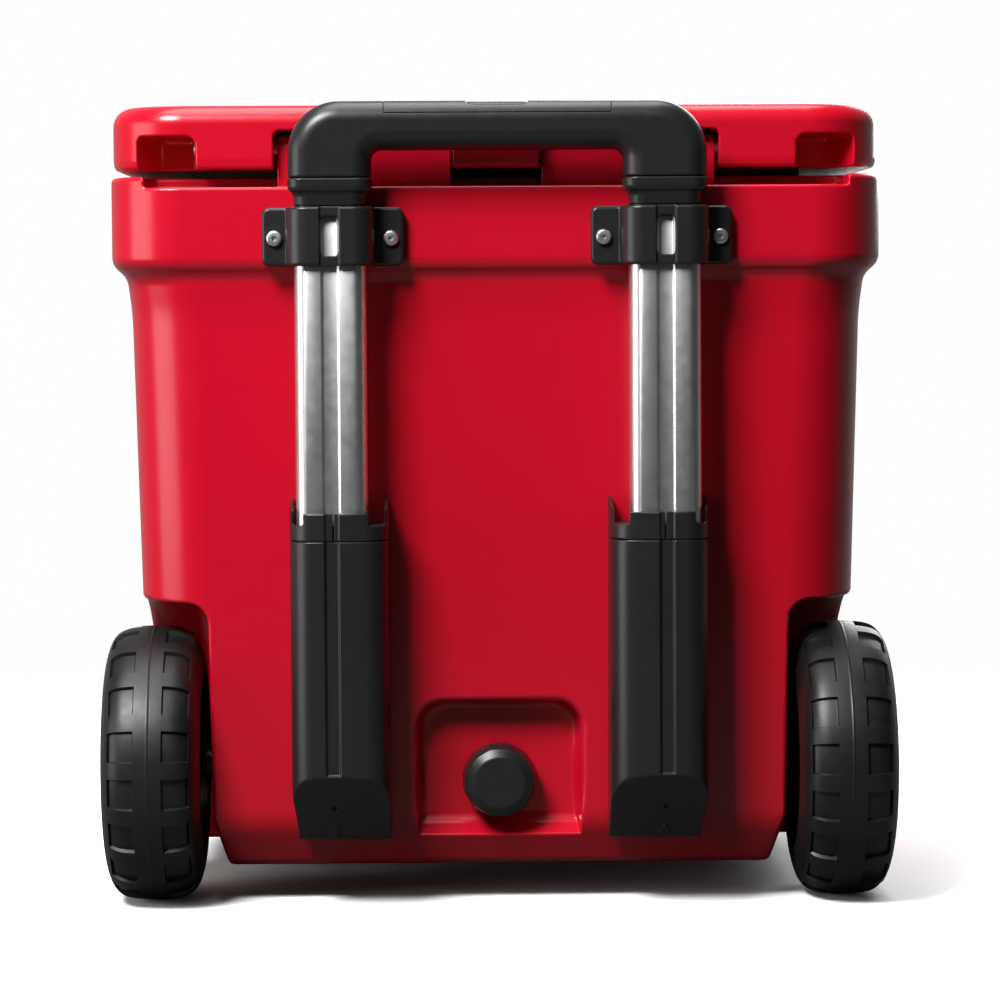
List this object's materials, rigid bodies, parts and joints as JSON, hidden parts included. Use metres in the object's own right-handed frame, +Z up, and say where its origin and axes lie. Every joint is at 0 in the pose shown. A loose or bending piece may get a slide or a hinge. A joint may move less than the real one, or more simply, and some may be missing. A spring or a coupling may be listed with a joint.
{
  "type": "wheeled cooler chest",
  "caption": "Double-walled hard cooler chest with hinged latched lid, rear telescoping pull handle, roller wheels and drain plug.",
  "frame": {"origin": "on the floor, under the middle of the overall box", "axes": "+Z up; +Y towards the rear, where the handle, drain and wheels are; the latches face -Y; +X is the left side as seen from behind"},
  "size_m": [0.535, 0.4795, 0.54],
  "materials": {
    "red_shell": "gloss",
    "white_liner": "satin",
    "black_plastic": "satin",
    "tyre_rubber": "matte",
    "soft_rubber": "matte",
    "anodised_aluminium": "satin",
    "bright_steel": "satin",
    "insulating_foam": "matte"
  },
  "bodies": {
    "chest": {"axle_clip_left": "bright_steel", "axle_clip_right": "bright_steel", "axle_left": "bright_steel", "axle_right": "bright_steel", "axle_spacer_left": "black_plastic", "axle_spacer_right": "black_plastic", "bracket_screw_1": "bright_steel", "bracket_screw_2": "bright_steel", "bracket_screw_3": "bright_steel", "bracket_screw_4": "bright_steel", "drain_bushing": "black_plastic", "foot_left": "soft_rubber", "foot_right": "soft_rubber", "hinge_rod": "bright_steel", "housing_collar_left": "black_plastic", "housing_collar_right": "black_plastic", "housing_left": "black_plastic", "housing_right": "black_plastic", "latch_keeper_left": "black_plastic", "latch_keeper_right": "black_plastic", "outer_tube_left": "anodised_aluminium", "outer_tube_right": "anodised_aluminium", "tub_fill_plug": "red_shell", "tub_foam": "insulating_foam", "tub_liner": "white_liner", "tub_shell": "red_shell", "upper_bracket_left": "black_plastic", "upper_bracket_right": "black_plastic"},
    "lid": {"lid_shell": "red_shell", "lid_foam": "insulating_foam", "lid_gasket": "soft_rubber", "lid_fill_plug": "red_shell", "latch_pin_left": "bright_steel", "latch_pin_right": "bright_steel"},
    "latch_left": {"latch_left": "black_plastic"},
    "latch_right": {"latch_right": "black_plastic"},
    "drain_seal": {"drain_seal": "soft_rubber"},
    "drain_plug": {"drain_plug": "black_plastic"},
    "wheel_left": {"tyre_left": "tyre_rubber", "hub_left": "black_plastic", "hub_cap_left": "black_plastic", "wheel_bush_left": "black_plastic"},
    "wheel_right": {"tyre_right": "tyre_rubber", "hub_right": "black_plastic", "hub_cap_right": "black_plastic", "wheel_bush_right": "black_plastic"},
    "mid_stage": {"mid_tube_left": "anodised_aluminium", "mid_tube_right": "anodised_aluminium", "mid_collar_left": "black_plastic", "mid_collar_right": "black_plastic"},
    "grip": {"grip_body": "black_plastic", "grip_top_cover": "black_plastic", "inner_tube_left": "anodised_aluminium", "inner_tube_right": "anodised_aluminium"},
    "release": {"grip_button": "black_plastic", "release_yoke": "bright_steel", "release_rod_left": "bright_steel", "release_rod_right": "bright_steel", "button_spring": "bright_steel"}
  },
  "joints": [
    {"name": "lid_hinge", "type": "hinge", "parent": "chest", "child": "lid", "pos_m": [0, 0.1688, 0.5115], "axis": [-1, 0, 0], "range_deg": [0, 90]},
    {"name": "latch_left_hinge", "type": "hinge", "parent": "lid", "child": "latch_left", "pos_m": [0.115, -0.2082, 0.519], "axis": [-1, 0, 0], "range_deg": [-8, 80]},
    {"name": "latch_right_hinge", "type": "hinge", "parent": "lid", "child": "latch_right", "pos_m": [-0.115, -0.2082, 0.519], "axis": [-1, 0, 0], "range_deg": [-8, 80]},
    {"name": "drain_plug_turn", "type": "hinge", "parent": "drain_seal", "child": "drain_plug", "pos_m": [0, 0.1638, 0.084], "axis": [0, 1, 0], "range_deg": [0, 1440]},
    {"name": "drain_seal_slide", "type": "slide", "parent": "chest", "child": "drain_seal", "axis": [0, 1, 0], "range_m": [0, 0.012]},
    {"name": "wheel_left_spin", "type": "hinge", "parent": "chest", "child": "wheel_left", "pos_m": [0.2, 0.1438, 0.094], "axis": [1, 0, 0], "continuous": true},
    {"name": "wheel_right_spin", "type": "hinge", "parent": "chest", "child": "wheel_right", "pos_m": [-0.2, 0.1438, 0.094], "axis": [1, 0, 0], "continuous": true},
    {"name": "handle_lower_slide", "type": "slide", "parent": "chest", "child": "mid_stage", "axis": [0, 0, 1], "range_m": [0, 0.235]},
    {"name": "handle_upper_slide", "type": "slide", "parent": "mid_stage", "child": "grip", "axis": [0, 0, 1], "range_m": [0, 0.235]},
    {"name": "grip_button_press", "type": "slide", "parent": "grip", "child": "release", "axis": [0, 0, -1], "range_m": [0, 0.004], "stiffness_N_per_m": 900, "springref_m": -0.004, "deforming": ["button_spring"]}
  ],
  "couplings": [
    {"joint": "drain_seal_slide", "follows": "drain_plug_turn", "m_per_rad": 0.00047}
  ]
}
